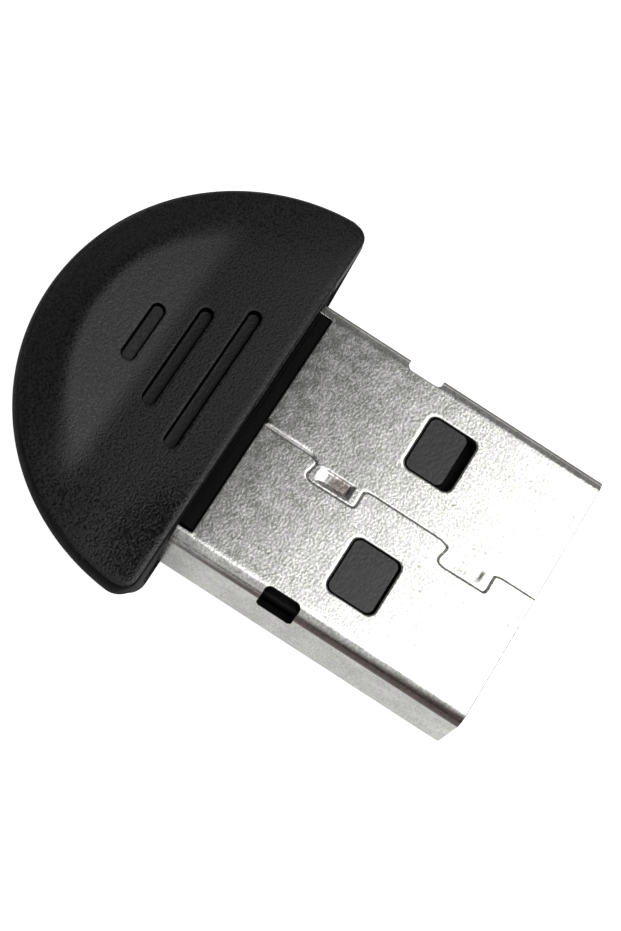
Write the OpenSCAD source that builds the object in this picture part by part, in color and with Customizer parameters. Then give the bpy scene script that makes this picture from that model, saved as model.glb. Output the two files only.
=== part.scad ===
// Nano wireless USB adapter: a half-round cap on a standard type A plug.
// The plug mouth faces -Y, the seamed face of the plug looks up.

/* [Plug shell] */
// Width across the plug
plug_width = 12.0; // [11.8:0.05:12.2]
// Height of the plug
plug_height = 4.5; // [4.4:0.05:4.6]
// Thickness of the folded steel sheet
sheet = 0.3; // [0.25:0.01:0.33]
// Outer radius of the four bends
bend_radius = 0.62; // [0.5:0.02:0.8]
// Length of the top and bottom plates from the mouth
plate_length = 12.91; // [12.4:0.05:13.1]
// How far the side walls run on behind the plates
tab_reach = 2.3; // [1.8:0.1:2.6]
// Distance of the latch windows from the mouth
window_front = 5.16; // [4.9:0.02:5.4]
// Length of a latch window along the plug
window_length = 2.2; // [2.0:0.05:2.4]
// Width of a latch window across the plug
window_width = 2.6; // [2.3:0.05:2.8]
// Distance of the window centres from the plug axis
window_offset = 3.05; // [2.8:0.05:3.3]
// Corner radius of the windows
window_corner = 0.35; // [0.1:0.05:0.6]
// Distance of the side slots from the mouth
slot_front = 7.7; // [7.0:0.1:8.4]
// Length of the side slots
slot_length = 1.6; // [1.0:0.1:2.0]
// Depth of the side slots below the top face
slot_drop = 1.45; // [1.0:0.05:1.6]
// Corner radius of the side slots
slot_corner = 0.25; // [0.1:0.05:0.25]
// How far the side slots reach into the top bend
slot_inset = 0.55; // [0.45:0.05:0.6]

/* [Seam] */
// Width of the slit between the two sheet edges
seam_gap = 0.06; // [0.03:0.01:0.12]
// Distance of the first dovetail from the mouth
dovetail_front = 1.86; // [1.5:0.05:2.2]
// Distance between the two dovetails
dovetail_pitch = 6.2; // [5.6:0.1:6.6]
// Length of a dovetail along the plug
dovetail_length = 2.3; // [1.8:0.05:2.6]
// How far a dovetail reaches across the seam
dovetail_reach = 0.94; // [0.7:0.02:1.2]
// Corner radius of the dovetails
dovetail_corner = 0.16; // [0.08:0.02:0.24]
// Depth of the stake mark pressed into each dovetail
stake_depth = 0.08; // [0.04:0.01:0.15]

/* [Cap] */
// How far the round rim reaches past the plug on each side
cap_overhang = 3.33; // [3.1:0.01:3.8]
// Distance from the plates' rear edges to the cap's straight edge
cap_setback = 0.64; // [0.54:0.01:0.74]
// Distance from the straight edge to the centre of the round outline
centre_setback = 0.13; // [0.05:0.01:0.35]
// Corner radius where the straight edge meets the round one
cap_corner = 0.8; // [0.5:0.05:1.2]
// Height of the rim above the plug's top face
rim_rise = 1.05; // [0.95:0.05:1.25]
// Height of the flat field above the rim
field_rise = 0.3; // [0.2:0.05:0.4]
// Height of the ridge behind the finger dish above the flat field
ridge_rise = 0.5; // [0.3:0.05:0.8]
// Plan width of the sloping band outside the ridge
band_width = 1.8; // [1.4:0.05:2.2]
// Distance from the straight edge to where the dish starts to rise
dish_setback = 4.05; // [3.5:0.05:4.8]
// Length over which the flat field bends into the rising dish
dish_bend = 0.8; // [0.4:0.1:1.6]
// Depth of the cap's foot below the plug's lower face
foot_clearance = 1.05; // [0.95:0.05:1.35]
// How far the side wall leans in from the rim to the foot
wall_lean = 1.5; // [1.2:0.05:1.7]
// Radius between the side wall and the flat underside
foot_radius = 0.9; // [0.6:0.05:1.2]
// Wall thickness at the rim
cap_wall = 1.2; // [1.0:0.05:1.3]
// Wall thickness at the foot
foot_wall = 0.9; // [0.8:0.05:1.0]
// Roof thickness under the flat field
cap_roof = 1.0; // [0.9:0.05:1.1]
// Floor thickness
cap_floor = 0.8; // [0.7:0.05:0.9]

/* [Grip grooves] */
// Width of a groove
groove_width = 0.6; // [0.4:0.05:0.8]
// Depth of a groove
groove_depth = 0.35; // [0.2:0.05:0.5]
// Distance from the straight edge to the longest groove
groove_setback = 1.95; // [1.65:0.05:2.25]
// Distance between grooves
groove_pitch = 1.65; // [1.4:0.05:1.7]
// Length of the longest groove
groove_length = 6.8; // [6.0:0.1:7.4]
// How much shorter each next groove is
groove_step = 2.02; // [1.6:0.02:2.4]
// Depth of the shortest groove as a share of the others' depth
groove_fade = 0.6; // [0.5:0.05:1]

/* [Board] */
// Thickness of the circuit board
board_thickness = 1.0; // [0.9:0.05:1.1]
// Gap between the board and the sheet beside it
board_side_gap = 0.1; // [0.05:0.01:0.2]
// Distance of the board's front edge from the mouth
board_front = 0.5; // [0.3:0.05:0.8]
// Depth of the notches in the board's edges that take the side lugs
board_notch = 0.4; // [0.38:0.02:0.5]
// Distance from the cap's straight edge to the board's shoulders
shoulder_setback = 2.05; // [1.95:0.05:2.35]
// Gap between the board's round edge and the cap
board_edge_gap = 0.25; // [0.2:0.05:0.4]
// Thickness of the plastic between the board and the top sheet
tongue_backing = 0.95; // [0.9:0.01:1.0]
// Clearance of the moulded and pressed fits
fit = 0.03; // [0.02:0.01:0.05]
// Clearance of the carrier inside the cap
snap_gap = 0.06; // [0.04:0.01:0.1]
// How far the carrier's end face sits behind the cap's straight edge
face_recess = 0.06; // [0.03:0.01:0.12]
// Distance from the plates' rear edges to the ridge on the carrier
bead_gap = 0.32; // [0.25:0.01:0.36]
// Width and height of that ridge
bead_size = 0.13; // [0.1:0.01:0.18]
// Open gap in front of the right-hand latch pad
right_pad_gap = 0.45; // [0.3:0.05:0.6]
// Open gap in front of the left-hand latch pad
left_pad_gap = 0.12; // [0.08:0.01:0.3]
// Depth of the pocket that this gap opens into
pocket_depth = 0.6; // [0.4:0.05:0.7]
// How far the side lugs stay below the outside of the shell
lug_recess = 0.4; // [0.38:0.01:0.5]
// How far the side lugs reach below the board
lug_drop = 0.4; // [0.2:0.05:0.6]
// Depth of the carrier's plug-in part behind the cap's straight edge
insert_depth = 1.1; // [0.9:0.05:1.2]
// How far the rails reach under the board's shoulders
rail_overlap = 0.8; // [0.5:0.05:1.0]
// Width of a rail
rail_width = 0.5; // [0.4:0.05:0.6]
// Height of a rail
rail_height = 1.0; // [0.7:0.05:1.2]

/* [Contacts] */
// Distance of the outer contacts from the plug axis
outer_contact = 3.5; // [3.4:0.05:3.6]
// Distance of the inner contacts from the plug axis
inner_contact = 1.0; // [0.9:0.05:1.1]
// Width of a contact
contact_width = 1.0; // [0.9:0.05:1.2]
// Thickness of the plated contact
contact_thickness = 0.06; // [0.04:0.01:0.1]
// Distance from the board's front edge to the power contacts
power_lead = 1.0; // [0.8:0.05:1.3]
// How much later the data contacts start
data_delay = 1.0; // [0.8:0.05:1.2]
// Distance of the contacts' rear ends from the mouth
contact_end = 8.9; // [8.4:0.1:9.4]

/* [Board parts] */
// Side of the square radio chip
radio_size = 3.5; // [3.0:0.1:3.8]
// Height of the radio chip
radio_thickness = 0.8; // [0.6:0.05:0.9]
// Width of the memory chip
memory_width = 2.0; // [1.6:0.1:2.2]
// Length of the memory chip
memory_length = 3.0; // [2.0:0.1:3.2]
// Height of the memory chip
memory_thickness = 0.6; // [0.5:0.05:0.9]
// Length of the voltage regulator
regulator_length = 2.9; // [2.6:0.1:3.0]
// Width of the voltage regulator's body
regulator_width = 1.6; // [1.4:0.1:1.7]
// Height of the voltage regulator
regulator_thickness = 1.1; // [0.9:0.05:1.3]
// Distance between the regulator's leads
regulator_pitch = 0.95; // [0.9:0.01:1.0]
// Length of a regulator lead
lead_length = 0.7; // [0.5:0.05:0.8]
// Width of a regulator lead
lead_width = 0.4; // [0.3:0.05:0.5]
// Width of the crystal's can
crystal_width = 2.0; // [1.6:0.1:2.1]
// Length of the crystal's can
crystal_length = 2.5; // [2.0:0.1:2.6]
// Height of the crystal's can
crystal_thickness = 0.6; // [0.4:0.05:0.8]
// Width of the antenna filter
filter_width = 1.0; // [0.8:0.05:1.1]
// Length of the antenna filter
filter_length = 1.6; // [1.4:0.05:1.7]
// Length of a chip capacitor or resistor
chip_length = 1.0; // [0.8:0.05:1.1]
// Width and height of a chip capacitor or resistor
chip_width = 0.5; // [0.3:0.05:0.6]
// Width of the printed antenna
antenna_width = 0.55; // [0.4:0.05:0.7]
// Distance of the printed antenna from the board's round edge
antenna_margin = 0.45; // [0.3:0.05:0.6]
// Distance from the carrier to the middle of the first row of parts
first_row = 0.6; // [0.55:0.05:0.7]
// Distance from the carrier to the middle of the second row of parts
second_row = 2.5; // [2.4:0.05:2.7]

/* [Hidden] */
$fn = 48;
eps = 0.01;

// Places along the plug
cap_front = plate_length + cap_setback;
cap_centre = cap_front + centre_setback;
cap_radius = plug_width / 2 + cap_overhang;
dish_start = cap_front + dish_setback;
groove_front = cap_front + groove_setback;
board_shoulder = cap_front + shoulder_setback;
insert_end = cap_front + insert_depth;
rail_end = board_shoulder + rail_overlap;

// Levels above the plug axis
plug_top = plug_height / 2;
rim_height = plug_top + rim_rise;
field_height = rim_height + field_rise;
ridge_height = field_height + ridge_rise;
cap_drop = plug_top + foot_clearance;
sheet_inside = plug_top - sheet;
board_top = sheet_inside - tongue_backing + fit;
board_bottom = board_top - board_thickness;
cavity_top = field_height - cap_roof;
cavity_bottom = cap_floor - cap_drop;

// Widths and lengths
inner_half = plug_width / 2 - sheet;
board_half = inner_half - board_side_gap;
tab_end = plate_length + tab_reach;
tongue_half = inner_half - 0.4;
total_length = cap_centre + cap_radius;

// The seamed face is up and the cap's flat underside is the lowest surface
module in_place() {
    translate([0, -total_length / 2, cap_drop]) children();
}

// Profile across the plug, extruded along +Y from y = start to y = end
module along(start, end) {
    translate([0, end, 0])
        rotate([90, 0, 0])
            linear_extrude(end - start) children();
}

module rounded_rectangle(width, height, radius) {
    square([width - 2 * radius, height], center = true);
    square([width, height - 2 * radius], center = true);
    for (sx = [-1, 1], sy = [-1, 1])
        translate([sx * (width / 2 - radius), sy * (height / 2 - radius)])
            circle(radius);
}

// Cap: one smooth body built from rings
side_points = 16;
corner_points = 6;
arc_points = 44;

function corner_centre(r, front, rc) = sqrt(pow(r - rc, 2) - pow(front + rc - cap_centre, 2));
function corner_angle(r, front, rc) = atan2(front + rc - cap_centre, corner_centre(r, front, rc));

// D-shaped outline: straight front edge, two corners and the arc
function d_outline(r, front, rc) =
    let (cx = corner_centre(r, front, rc), a = corner_angle(r, front, rc))
    concat(
        [for (i = [1 : side_points - 1])
            [cx * (2 * i / side_points - 1), front]],
        [for (i = [0 : corner_points - 1])
            let (t = -90 + (a + 90) * i / corner_points)
            [cx + rc * cos(t), front + rc + rc * sin(t)]],
        [for (i = [0 : arc_points])
            let (t = a + (180 - 2 * a) * i / arc_points)
            [r * cos(t), cap_centre + r * sin(t)]],
        [for (i = [1 : corner_points])
            let (t = 180 - a + (a + 90) * i / corner_points)
            [-cx + rc * cos(t), front + rc + rc * sin(t)]]
    );

function smooth_min(a, b, k) =
    let (h = max(k - abs(a - b), 0) / k)
    min(a, b) - h * h * k / 4;

// Height of the top surface: a sloping band outside, a finger dish inside,
// and between them a ridge that keeps its distance from the round outline
function eased(d) = d < dish_bend ? d * d / (2 * dish_bend) : d - dish_bend / 2;
function dish_height(y) =
    let (span = cap_centre + cap_radius - band_width - dish_start)
    field_height + (ridge_height + 0.06 - field_height)
        * eased(max(y - dish_start, 0)) / eased(span);
function band_height(x, y) =
    let (d = max(norm([x, y - cap_centre]), 1),
         ridge_y = cap_centre + (y - cap_centre) * (cap_radius - band_width) / d)
    rim_height + (cap_radius - d) * (dish_height(ridge_y) - rim_height) / band_width;
function top_height(x, y) = smooth_min(band_height(x, y), dish_height(y), 0.22);

// Rings of the underside and the wall: [inset of the arc, inset of the front, height]
edge_radius = 0.32;
wall_rings = concat(
    [for (i = [0 : 4])
        let (t = 90 * i / 4)
        [wall_lean + foot_radius * (1 - sin(t)), 0.25 * (1 - sin(t)),
         foot_radius * (1 - cos(t)) - cap_drop]],
    [for (i = [1 : 3])
        let (low = foot_radius - cap_drop, high = rim_height - 2 * edge_radius)
        [wall_lean * (1 - i / 3), 0, low + (high - low) * i / 3]]
);
rim_rings = [for (i = [1 : 4])
    let (t = 80 * i / 4)
    [edge_radius * (1 - cos(t)), edge_radius * (1 - cos(t)), sin(t)]];
field_scales = [0.972, 0.945, 0.915, 0.885, 0.855, 0.825, 0.795, 0.765, 0.735, 0.7,
                0.65, 0.58, 0.5, 0.43, 0.37, 0.31, 0.26, 0.21, 0.17];
field_centre = [0, dish_start - 1.3];

function ring_points(ring) =
    [for (p = d_outline(cap_radius - ring[0], cap_front + ring[1],
                        max(cap_corner - ring[1], 0.3)))
        [p[0], p[1], ring[2]]];
rim_outline = d_outline(cap_radius - rim_rings[3][0], cap_front + rim_rings[3][1],
                        cap_corner - rim_rings[3][1]);
function rim_ring(ring) =
    [for (p = d_outline(cap_radius - ring[0], cap_front + ring[1], cap_corner - ring[1]))
        let (top = top_height(p[0], p[1]), low = rim_height - 2 * edge_radius)
        [p[0], p[1], low + (top - low) * ring[2]]];
function field_ring(scale) =
    [for (p = rim_outline)
        let (x = field_centre[0] + scale * (p[0] - field_centre[0]),
             y = field_centre[1] + scale * (p[1] - field_centre[1]))
        [x, y, top_height(x, y)]];

module cap_body() {
    rings = concat([for (r = wall_rings) ring_points(r)],
                   [for (r = rim_rings) rim_ring(r)],
                   [for (s = field_scales) field_ring(s)]);
    count = len(rings[0]);
    last = len(rings) - 1;
    middle = top_height(field_centre[0], field_centre[1]);
    points = concat([for (ring = rings, p = ring) p],
                    [[field_centre[0], field_centre[1], middle]]);
    faces = concat(
        [[for (i = [0 : count - 1]) i]],
        [for (j = [0 : last - 1], i = [0 : count - 1])
            [j * count + i, (j + 1) * count + i, j * count + (i + 1) % count]],
        [for (j = [0 : last - 1], i = [0 : count - 1])
            [(j + 1) * count + i, (j + 1) * count + (i + 1) % count, j * count + (i + 1) % count]],
        [for (i = [0 : count - 1])
            [last * count + i, (last + 1) * count, last * count + (i + 1) % count]]
    );
    polyhedron(points, faces, convexity = 6);
}

// Space inside the cap, open at the straight edge, or the same shrunk by a gap
function space_radius(t, gap) =
    cap_radius - gap - (wall_lean + foot_wall) + t * (wall_lean + foot_wall - cap_wall);
module cap_space(gap = 0, front = cap_front - 1) {
    low = cavity_bottom + gap;
    high = cavity_top - gap;
    steps = 5;
    for (i = [0 : steps - 1])
        hull()
            for (t = [i / steps, (i + 1) / steps])
                translate([0, 0, low + t * (high - low - eps)])
                    linear_extrude(eps) half_round(space_radius(t, gap), front);
}

module half_round(radius, front) {
    intersection() {
        translate([0, cap_centre]) circle(radius, $fn = 64);
        translate([-radius, cap_centre]) square([2 * radius, 2 * radius]);
    }
    translate([-radius, front]) square([2 * radius, cap_centre - front + eps]);
}

module pill(length, width) {
    hull()
        for (s = [-1, 1]) translate([s * (length - width) / 2, 0]) circle(width / 2, $fn = 24);
}

module cap() {
    color([0.08, 0.08, 0.085]) difference() {
        cap_body();
        cap_space();
        for (i = [0 : 2])
            let (y = groove_front + i * groove_pitch, depth = groove_depth * (i < 2 ? 1 : groove_fade))
                translate([0, y, top_height(0, y) - depth])
                    linear_extrude(2) pill(groove_length - i * groove_step, groove_width);
    }
}

// Plug shell: sheet folded round and closed by a dovetailed seam in the top face
corner_steps = 4;

// The same outline with each corner but the first and last cut back and rounded
function rounded(line, r) =
    concat([line[0]],
           [for (i = [1 : len(line) - 2])
               let (a = line[i - 1], p = line[i], b = line[i + 1],
                    from = p + (a - p) * min(r / norm(a - p), 0.45),
                    to = p + (b - p) * min(r / norm(b - p), 0.45))
               for (k = [0 : corner_steps])
                   let (t = k / corner_steps)
                   from * pow(1 - t, 2) + p * 2 * t * (1 - t) + to * pow(t, 2)],
           [line[len(line) - 1]]);

// A tab with a slanted neck at its rear end, seen from above
module dovetail(front) {
    rear = front + dovetail_length;
    polygon(rounded([[1, front - 0.4], [eps, front - 0.35], [-0.05, front - 0.03],
                     [-dovetail_reach + 0.02, front - 0.03], [-dovetail_reach, rear - 0.24],
                     [-dovetail_reach + 0.15, rear], [-0.12, rear - 0.13], [eps, rear + 0.3],
                     [1, rear + 0.35]], dovetail_corner));
}

module seam_edge(shift) {
    translate([-seam_gap / 2 + shift, 0]) {
        translate([0, -1]) square([plug_width / 2, plate_length + 2]);
        for (i = [0, 1]) dovetail(dovetail_front + i * dovetail_pitch);
    }
}

// The slit is the strip between the right-hand sheet edge and the same edge moved over
module seam_slit() {
    difference() {
        offset(delta = seam_gap / 2) seam_edge(seam_gap / 2);
        offset(delta = -seam_gap / 2) seam_edge(seam_gap / 2);
        translate([1.5, -2]) square([plug_width, plate_length + 4]);
        translate([-4, -3]) square([8, 2.5]);
        translate([-4, plate_length + 0.5]) square([8, 2.5]);
    }
}

module window(side) {
    translate([side * window_offset, window_front + window_length / 2])
        rounded_rectangle(window_width, window_length, window_corner);
}

module plug_shell() {
    color([0.78, 0.77, 0.75]) difference() {
        along(0, tab_end) difference() {
            rounded_rectangle(plug_width, plug_height, bend_radius);
            rounded_rectangle(plug_width - 2 * sheet, plug_height - 2 * sheet, bend_radius - sheet);
        }
        // plates end before the side walls
        translate([-(plug_width / 2 - bend_radius), plate_length, -plug_top - 1])
            cube([plug_width - 2 * bend_radius, tab_reach + 1, plug_height + 2]);
        translate([0, 0, -plug_top - 1])
            linear_extrude(plug_height + 2)
                for (side = [-1, 1]) window(side);
        for (side = [-1, 1])
            translate([side * (plug_width / 2 + slot_inset), slot_front + slot_length / 2, plug_top])
                rotate([0, 90, 0])
                    linear_extrude(4 * slot_inset, center = true)
                        rounded_rectangle(2 * slot_drop, slot_length, slot_corner);
        translate([0, 0, sheet_inside - 0.5]) linear_extrude(sheet + 1) seam_slit();
        // stake marks
        for (i = [0, 1])
            translate([-dovetail_reach + 0.21, dovetail_front + i * dovetail_pitch + 0.52,
                       plug_top - stake_depth])
                cube([0.56, dovetail_length - 1.13, 1]);
    }
}

// Board carrier: tongue, latch pads, end face and board rails in one moulding
module insert_outline() {
    top_half = cap_radius - cap_wall - snap_gap;
    low_half = cap_radius - wall_lean - foot_wall - snap_gap;
    polygon([[-top_half, cavity_top - snap_gap], [top_half, cavity_top - snap_gap],
             [low_half, cavity_bottom + snap_gap], [-low_half, cavity_bottom + snap_gap]]);
}

// A block of the carrier given by its two ends on each axis
module block(xs, ys, zs) {
    translate([xs[0], ys[0], zs[0]]) cube([xs[1] - xs[0], ys[1] - ys[0], zs[1] - zs[0]]);
}

module board_carrier() {
    tongue_low = board_top + fit;
    tongue_high = sheet_inside - fit;
    across = [-tongue_half, tongue_half];
    behind = plate_length + 0.05;
    bead_front = plate_length + bead_gap;
    color([0.13, 0.13, 0.135]) {
        // end face that closes the cap, with the passage for the plug
        difference() {
            along(cap_front + face_recess, insert_end) insert_outline();
            along(cap_front - 1, insert_end + 1)
                rounded_rectangle(plug_width + 2 * fit, plug_height + 2 * fit, bend_radius);
        }
        // tongue above the board, with pockets in front of the latch pads
        difference() {
            block(across, [board_front, insert_end], [tongue_low, tongue_high]);
            for (side = [-1, 1]) latch_pocket(side, tongue_high);
        }
        // where the sheet stops, the tongue rises to the outside and carries a ridge
        block(across, [behind, insert_end], [tongue_high - eps, plug_top + 2 * fit]);
        block(across, [bead_front, bead_front + bead_size], [plug_top, plug_top + fit + bead_size]);
        // stop below the board
        block(across, [plate_length - 0.9, insert_end], [fit - sheet_inside, board_bottom - fit]);
        block(across, [behind, insert_end], [-plug_top - 2 * fit, fit - sheet_inside + eps]);
        for (side = [-1, 1]) {
            latch_pad(side, tongue_high);
            side_lug(side, tongue_high - 0.25);
            rail(side);
        }
    }
}

function pad_gap(side) = side > 0 ? right_pad_gap : left_pad_gap;

module latch_pad(side, base) {
    pad_length = window_length - pad_gap(side) - 0.06;
    translate([side * window_offset, window_front + pad_gap(side) + pad_length / 2, base - eps])
        linear_extrude(plug_top - 0.06 - base + eps)
            rounded_rectangle(window_width - 0.14, pad_length, window_corner - 0.05);
}

module latch_pocket(side, top) {
    translate([side * window_offset - window_width / 2, window_front - 0.15, top - pocket_depth])
        cube([window_width, pad_gap(side) + 0.15, 1]);
}

// Lug beside a side slot that sits in a notch of the board and locates it
module side_lug(side, high) {
    mirror([side > 0 ? 0 : 1, 0, 0])
        block([board_half - board_notch + fit, plug_width / 2 - lug_recess],
              [slot_front - 0.1, slot_front + slot_length + 0.1], [board_bottom - lug_drop, high]);
}

// Rail that carries a shoulder of the board
module rail(side) {
    middle = side * (plug_width / 2 + 0.35);
    block([middle - rail_width / 2, middle + rail_width / 2], [insert_end - eps, rail_end],
          [board_bottom - fit - rail_height, board_bottom - fit]);
}

// Circuit board: narrow in the plug, half-round in the cap
board_radius = cap_radius - wall_lean - foot_wall + 0.55 - board_edge_gap;

module circuit_board() {
    color([0.07, 0.25, 0.13])
        translate([0, 0, board_bottom]) linear_extrude(board_thickness) {
            difference() {
                translate([-board_half, board_front])
                    square([2 * board_half, board_shoulder - board_front + 1]);
                for (side = [-1, 1])
                    translate([side * board_half, slot_front + slot_length / 2])
                        square([2 * board_notch, slot_length + 0.2 + 2 * fit], center = true);
            }
            intersection() {
                translate([0, cap_centre]) circle(board_radius, $fn = 96);
                translate([-board_radius, board_shoulder]) square([2 * board_radius, board_radius]);
            }
        }
}

module contact(x, lead) {
    color([0.85, 0.68, 0.32])
        translate([x - contact_width / 2, board_front + lead, board_bottom - contact_thickness])
            cube([contact_width, contact_end - board_front - lead, contact_thickness]);
}

module power_contact() { contact(-outer_contact, power_lead); }
module data_minus_contact() { contact(-inner_contact, power_lead + data_delay); }
module data_plus_contact() { contact(inner_contact, power_lead + data_delay); }
module ground_contact() { contact(outer_contact, power_lead); }

// Parts on the board: side = 1 sits on top, side = -1 hangs below
module on_board(x, y, side) {
    translate([x, y, side > 0 ? board_top : board_bottom])
        rotate([side > 0 ? 0 : 180, 0, 0]) children();
}

module box_part(length, width, height) {
    translate([-length / 2, -width / 2, 0]) cube([length, width, height]);
}

// Two-terminal chip part with plated ends
ceramic = [0.62, 0.5, 0.36];
resistor_black = [0.12, 0.12, 0.13];
first_line = insert_end + first_row;
second_line = insert_end + second_row;
radio_x = -0.3;
regulator_x = board_half - 3.0;
supply_x = regulator_x - regulator_length / 2 - 0.75;
crystal_x = radio_x - radio_size / 2 - 1.15 - crystal_width / 2;

module chip_part(x, y, side, tint, turned = true) {
    plate = chip_length / 4;
    on_board(x, y, side) rotate([0, 0, turned ? 90 : 0]) {
        color(tint) box_part(chip_length - 2 * plate, chip_width, chip_width);
        color([0.8, 0.8, 0.78])
            for (s = [-1, 1])
                translate([s * (chip_length - plate) / 2, 0, 0])
                    box_part(plate, chip_width + 0.02, chip_width + 0.02);
    }
}

module radio_chip() {
    on_board(radio_x, insert_end + 0.15 + radio_size / 2, 1)
        color([0.09, 0.09, 0.1]) box_part(radio_size, radio_size, radio_thickness);
}

module memory_chip() {
    on_board(-0.6 - memory_width, second_line + 0.15, -1)
        color([0.1, 0.1, 0.11]) box_part(memory_width, memory_length, memory_thickness);
}

module voltage_regulator() {
    standoff = regulator_thickness / 11;
    on_board(regulator_x, second_line + 0.1, -1) {
        color([0.1, 0.1, 0.11]) translate([0, 0, standoff])
            box_part(regulator_length, regulator_width, regulator_thickness - standoff);
        color([0.8, 0.8, 0.78])
            for (i = [-1, 0, 1], s = [-1, 1])
                if (i != 0 || s < 0)
                    translate([i * regulator_pitch, s * (regulator_width / 2 + lead_length / 2 - 0.1), 0])
                        box_part(lead_width, lead_length, regulator_thickness * 0.4);
    }
}

module crystal() {
    on_board(crystal_x, second_line - 0.05, 1)
        color([0.75, 0.75, 0.76]) box_part(crystal_width, crystal_length, crystal_thickness);
}

// Printed antenna that follows the board's round edge, with the filter at its feed
antenna_outer = board_radius - antenna_margin;
antenna_inner = antenna_outer - antenna_width;
feed_angle = 60;

module antenna_filter() {
    angle = 48;
    reach = antenna_inner - 1.55;
    on_board(reach * cos(angle), cap_centre + reach * sin(angle), 1)
        rotate([0, 0, angle])
            color([0.9, 0.9, 0.88]) box_part(filter_width, filter_length, filter_width * 0.7);
}

module antenna_trace() {
    far = 2 * board_radius;
    color([0.85, 0.68, 0.32])
        translate([0, cap_centre, board_top]) linear_extrude(0.05) {
            intersection() {
                difference() {
                    circle(antenna_outer, $fn = 96);
                    circle(antenna_inner, $fn = 96);
                }
                polygon([[0, 0], [far * cos(50), far * sin(50)],
                         [0, far], [far * cos(122), far * sin(122)]]);
            }
            rotate(feed_angle) translate([antenna_inner - 0.9, -0.25]) square([1.1, 0.5]);
        }
}

module input_capacitor() { chip_part(board_half - 0.7, first_line + 0.05, -1, ceramic); }
module output_capacitor() { chip_part(supply_x, second_line - 0.75, -1, ceramic); }
module core_capacitor() { chip_part(supply_x, second_line + 1.05, -1, ceramic); }
module radio_capacitor() { chip_part(board_half - 2.3, first_line - 0.05, 1, ceramic, false); }
module load_capacitor_left() { chip_part(0.8 - board_half, first_line, 1, ceramic); }
module load_capacitor_right() { chip_part(radio_x - radio_size / 2 - 1.15, first_line, 1, ceramic); }
module data_minus_resistor() { chip_part(-inner_contact, first_line, -1, resistor_black); }
module data_plus_resistor() { chip_part(inner_contact + 0.6, first_line, -1, resistor_black); }
module reset_resistor() { chip_part(board_half - 0.7, second_line - 0.55, 1, resistor_black); }
module supply_inductor() { chip_part(1.0 - board_half, first_line, -1, [0.35, 0.33, 0.3]); }

// Fillet of solder between the board's edge and the side wall of the shell
module solder_joint(side) {
    size = 0.55;
    color([0.72, 0.73, 0.74])
        translate([side * inner_half, (insert_end + tab_end) / 2, board_top])
            rotate([90, 0, 0]) mirror([side > 0 ? 1 : 0, 0, 0])
                translate([0, 0, -0.25]) linear_extrude(0.5)
                    polygon([[0, -0.4], [0, size], [0.12, size * 0.45], [size * 0.45, 0.1],
                             [size, 0], [board_side_gap, 0], [board_side_gap, -0.4]]);
}

module left_solder_joint() { solder_joint(-1); }
module right_solder_joint() { solder_joint(1); }

in_place() {
    cap();
    plug_shell();
    board_carrier();
    circuit_board();
    power_contact();
    data_minus_contact();
    data_plus_contact();
    ground_contact();
    radio_chip();
    memory_chip();
    voltage_regulator();
    crystal();
    antenna_filter();
    antenna_trace();
    input_capacitor();
    output_capacitor();
    core_capacitor();
    radio_capacitor();
    load_capacitor_left();
    load_capacitor_right();
    data_minus_resistor();
    data_plus_resistor();
    reset_resistor();
    supply_inductor();
    left_solder_joint();
    right_solder_joint();
}
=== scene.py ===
import math

import bmesh
import bpy
import numpy as np
from mathutils import Matrix, Vector
from mathutils.geometry import delaunay_2d_cdt


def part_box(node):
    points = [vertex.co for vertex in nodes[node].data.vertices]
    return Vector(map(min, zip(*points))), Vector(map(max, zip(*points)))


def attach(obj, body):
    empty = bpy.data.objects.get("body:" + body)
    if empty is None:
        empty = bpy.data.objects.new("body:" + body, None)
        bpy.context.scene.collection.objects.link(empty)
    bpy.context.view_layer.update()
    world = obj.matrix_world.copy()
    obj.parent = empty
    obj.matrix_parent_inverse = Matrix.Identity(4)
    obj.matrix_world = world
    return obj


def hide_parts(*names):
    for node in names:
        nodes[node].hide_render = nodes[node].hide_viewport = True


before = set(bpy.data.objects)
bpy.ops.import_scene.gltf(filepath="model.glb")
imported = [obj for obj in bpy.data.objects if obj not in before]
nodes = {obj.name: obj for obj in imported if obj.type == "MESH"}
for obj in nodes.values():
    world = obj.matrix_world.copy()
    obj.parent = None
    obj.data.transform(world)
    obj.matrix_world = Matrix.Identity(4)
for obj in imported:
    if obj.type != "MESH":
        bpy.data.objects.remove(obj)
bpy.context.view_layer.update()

scene = bpy.context.scene


def add(tree, kind, **settings):
    made = tree.nodes.new(kind)
    for name, value in settings.items():
        setattr(made, name, value)
    return made


def feed(tree, target, source):
    """Sets a socket to a plain value, or links it where the source is a socket."""
    if isinstance(source, bpy.types.NodeSocket):
        tree.links.new(source, target)
    elif source is not None:
        target.default_value = source


def sums(tree, operation, first, second=None, third=None):
    made = add(tree, "ShaderNodeMath", operation=operation)
    for i, source in enumerate((first, second, third)):
        feed(tree, made.inputs[i], source)
    return made.outputs[0]


def soft_step(tree, value, start, end, first=0.0, last=1.0):
    """Goes softly from first to last while the value goes from start to end."""
    made = add(tree, "ShaderNodeMapRange", interpolation_type="SMOOTHSTEP")
    feed(tree, made.inputs["Value"], value)
    for socket, number in (("From Min", start), ("From Max", end), ("To Min", first), ("To Max", last)):
        made.inputs[socket].default_value = number
    return made.outputs[0]


def new_material(name):
    made = bpy.data.materials.new(name)
    made.use_nodes = True
    made.node_tree.nodes.clear()
    return made, made.node_tree


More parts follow.
